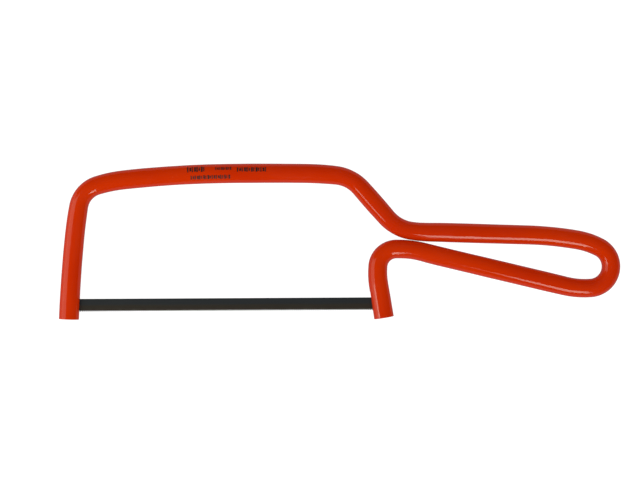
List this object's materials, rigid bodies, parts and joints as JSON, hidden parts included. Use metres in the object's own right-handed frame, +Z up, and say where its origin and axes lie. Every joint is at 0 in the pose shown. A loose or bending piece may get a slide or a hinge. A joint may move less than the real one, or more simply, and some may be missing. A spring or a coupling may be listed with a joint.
{
  "type": "insulated junior hacksaw",
  "caption": "Small hacksaw made from one spring rod bent into a bow, a looped handle and two slotted legs, covered in insulation, with a pinned blade sprung between the legs.",
  "frame": {"origin": "middle of the footprint of the saw lying on its side, on the surface that it lies on", "axes": "+X along the blade towards the handle, +Y from the blade to the back of the bow, +Z up through the saw's thickness"},
  "size_m": [0.2612, 0.0726, 0.009],
  "materials": {
    "frame_steel": "drawn spring-steel rod, satin",
    "insulation_inner": "yellow warning layer, matt",
    "insulation_outer": "orange-red soft PVC, glossy",
    "blade_steel": "blued and tempered steel strip",
    "pin_steel": "bright cut wire"
  },
  "bodies": {
    "frame_rear": {"frame_rod_rear": "frame_steel", "inner_insulation_rear": "insulation_inner", "outer_insulation_rear": "insulation_outer"},
    "frame_front": {"frame_rod_front": "frame_steel", "inner_insulation_front": "insulation_inner", "outer_insulation_front": "insulation_outer"},
    "blade": {"blade": "blade_steel", "blade_pin_front": "pin_steel", "blade_pin_rear": "pin_steel"}
  },
  "joints": [
    {"name": "frame_squeeze", "type": "hinge", "parent": "frame_rear", "child": "frame_front", "pos_m": [-0.05935, 0.03168, 0.0045], "axis": [0, 0, 1], "range_deg": [0, 0.6], "stiffness_Nm_per_rad": 60},
    {"name": "blade_release", "type": "slide", "parent": "frame_rear", "child": "blade", "axis": [0, -1, 0], "range_m": [0, 0.012]}
  ]
}
